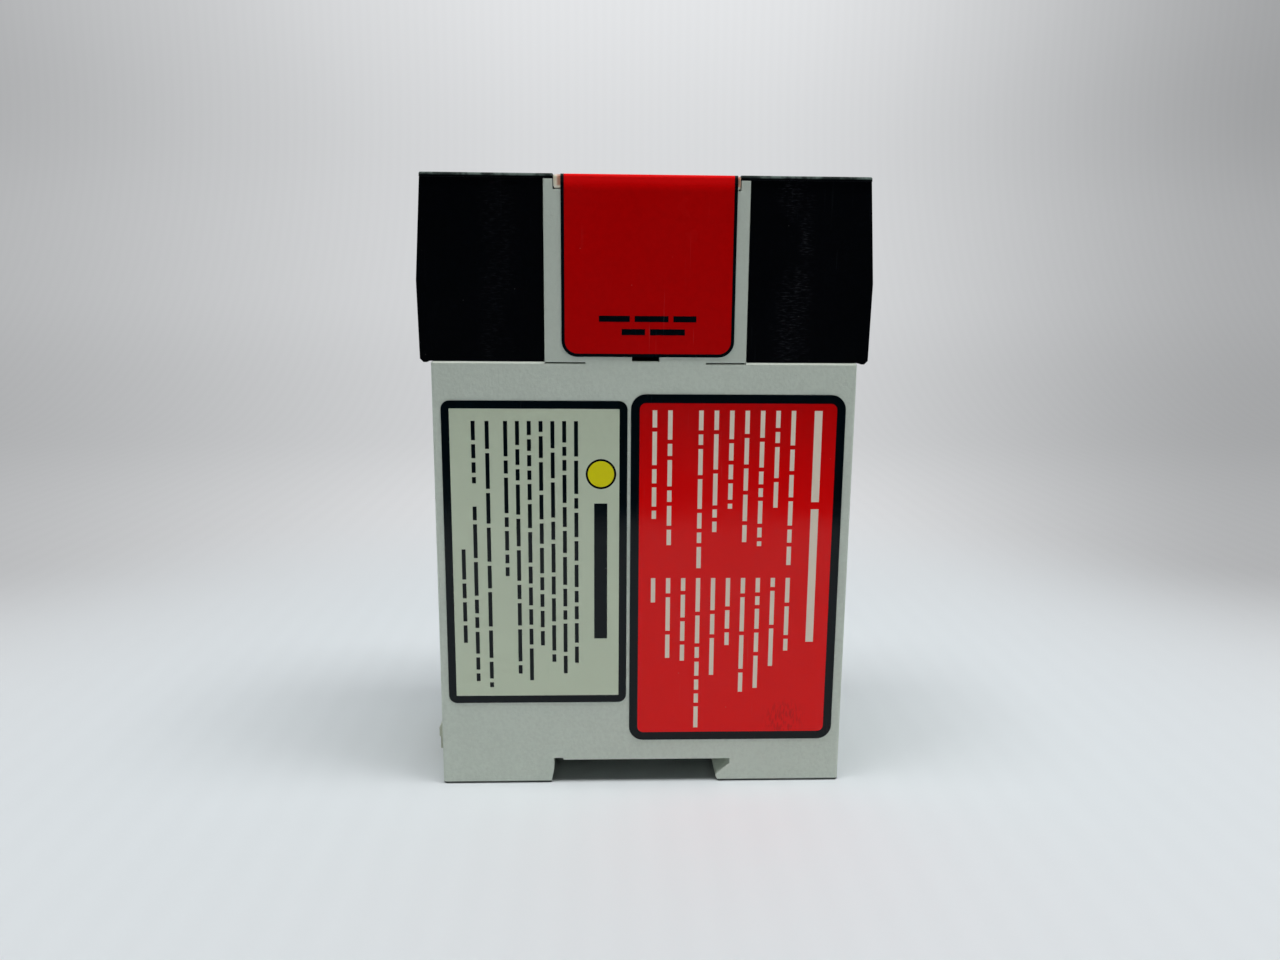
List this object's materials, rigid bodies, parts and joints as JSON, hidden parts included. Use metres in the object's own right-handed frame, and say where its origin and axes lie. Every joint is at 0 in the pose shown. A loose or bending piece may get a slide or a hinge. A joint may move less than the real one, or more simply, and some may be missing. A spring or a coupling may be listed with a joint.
{
  "type": "safety relay",
  "caption": "Rail-mounted safety relay module: grey housing, black terminal front, pale faceplate, label foils and a sprung rail latch.",
  "frame": {"origin": "middle of the rail side, on the surface it stands on", "axes": "+Z from the rail side to the front, X across the rail, Y along the rail; the labelled side faces -Y and the latch is at -X"},
  "size_m": [0.084, 0.0451, 0.118],
  "materials": {
    "grey_plastic": "fine-grained light grey moulding",
    "black_plastic": "satin black moulding",
    "pale_plastic": "pale translucent moulding",
    "red_foil": "glossy printed foil, red with a black edge",
    "grey_foil": "glossy printed foil, pale grey with a black edge",
    "latch_plastic": "light grey moulding",
    "spring_steel": "bright spring strip",
    "zinc_steel": "zinc-plated steel",
    "tinned_brass": "tinned",
    "circuit_board": "green solder mask",
    "black_resin": "moulded black resin",
    "relay_case": "cream case",
    "core_steel": "varnished laminations",
    "coil_wrap": "amber tape over the winding",
    "can_sleeve": "dark sleeve",
    "sink_aluminium": "plain bent sheet",
    "blue_ceramic": "blue coated disc",
    "fuse_glass": "clear tube",
    "lamp_resin": "diffused resin",
    "clear_resin": "clear moulding"
  },
  "bodies": {
    "module": {"base_housing": "grey_plastic", "front_housing": "black_plastic", "faceplate": "pale_plastic", "seal_label": "red_foil", "rating_label": "red_foil", "note_label": "grey_foil", "latch_spring": "spring_steel", "clamp_cages": "zinc_steel", "clamp_screws": "zinc_steel", "upper_contact_tags": "tinned_brass", "lower_contact_tags": "tinned_brass", "front_board": "circuit_board", "logic_board": "circuit_board", "relay_board": "circuit_board", "logic_header": "black_resin", "relay_header": "black_resin", "relay_1": "relay_case", "relay_2": "relay_case", "relay_3": "relay_case", "relay_4": "relay_case", "transformer_core": "core_steel", "transformer_coil": "coil_wrap", "main_capacitor": "can_sleeve", "output_capacitor": "can_sleeve", "heat_sink": "sink_aluminium", "regulator": "black_resin", "rectifier": "black_resin", "varistor": "blue_ceramic", "fuse_link": "fuse_glass", "logic_chip_1": "black_resin", "logic_chip_2": "black_resin", "optocoupler_1": "black_resin", "optocoupler_2": "black_resin", "optocoupler_3": "black_resin", "optocoupler_4": "black_resin", "indicator_1": "lamp_resin", "indicator_2": "lamp_resin", "indicator_3": "lamp_resin", "indicator_4": "lamp_resin", "light_guide": "clear_resin"},
    "latch": {"rail_latch": "latch_plastic"}
  },
  "joints": [
    {"name": "latch_pull", "type": "slide", "parent": "module", "child": "latch", "axis": [-1, 0, 0], "range_m": [0, 0.0028], "stiffness_N_per_m": 900, "springref_m": -0.002, "deforming": ["latch_spring"]}
  ]
}
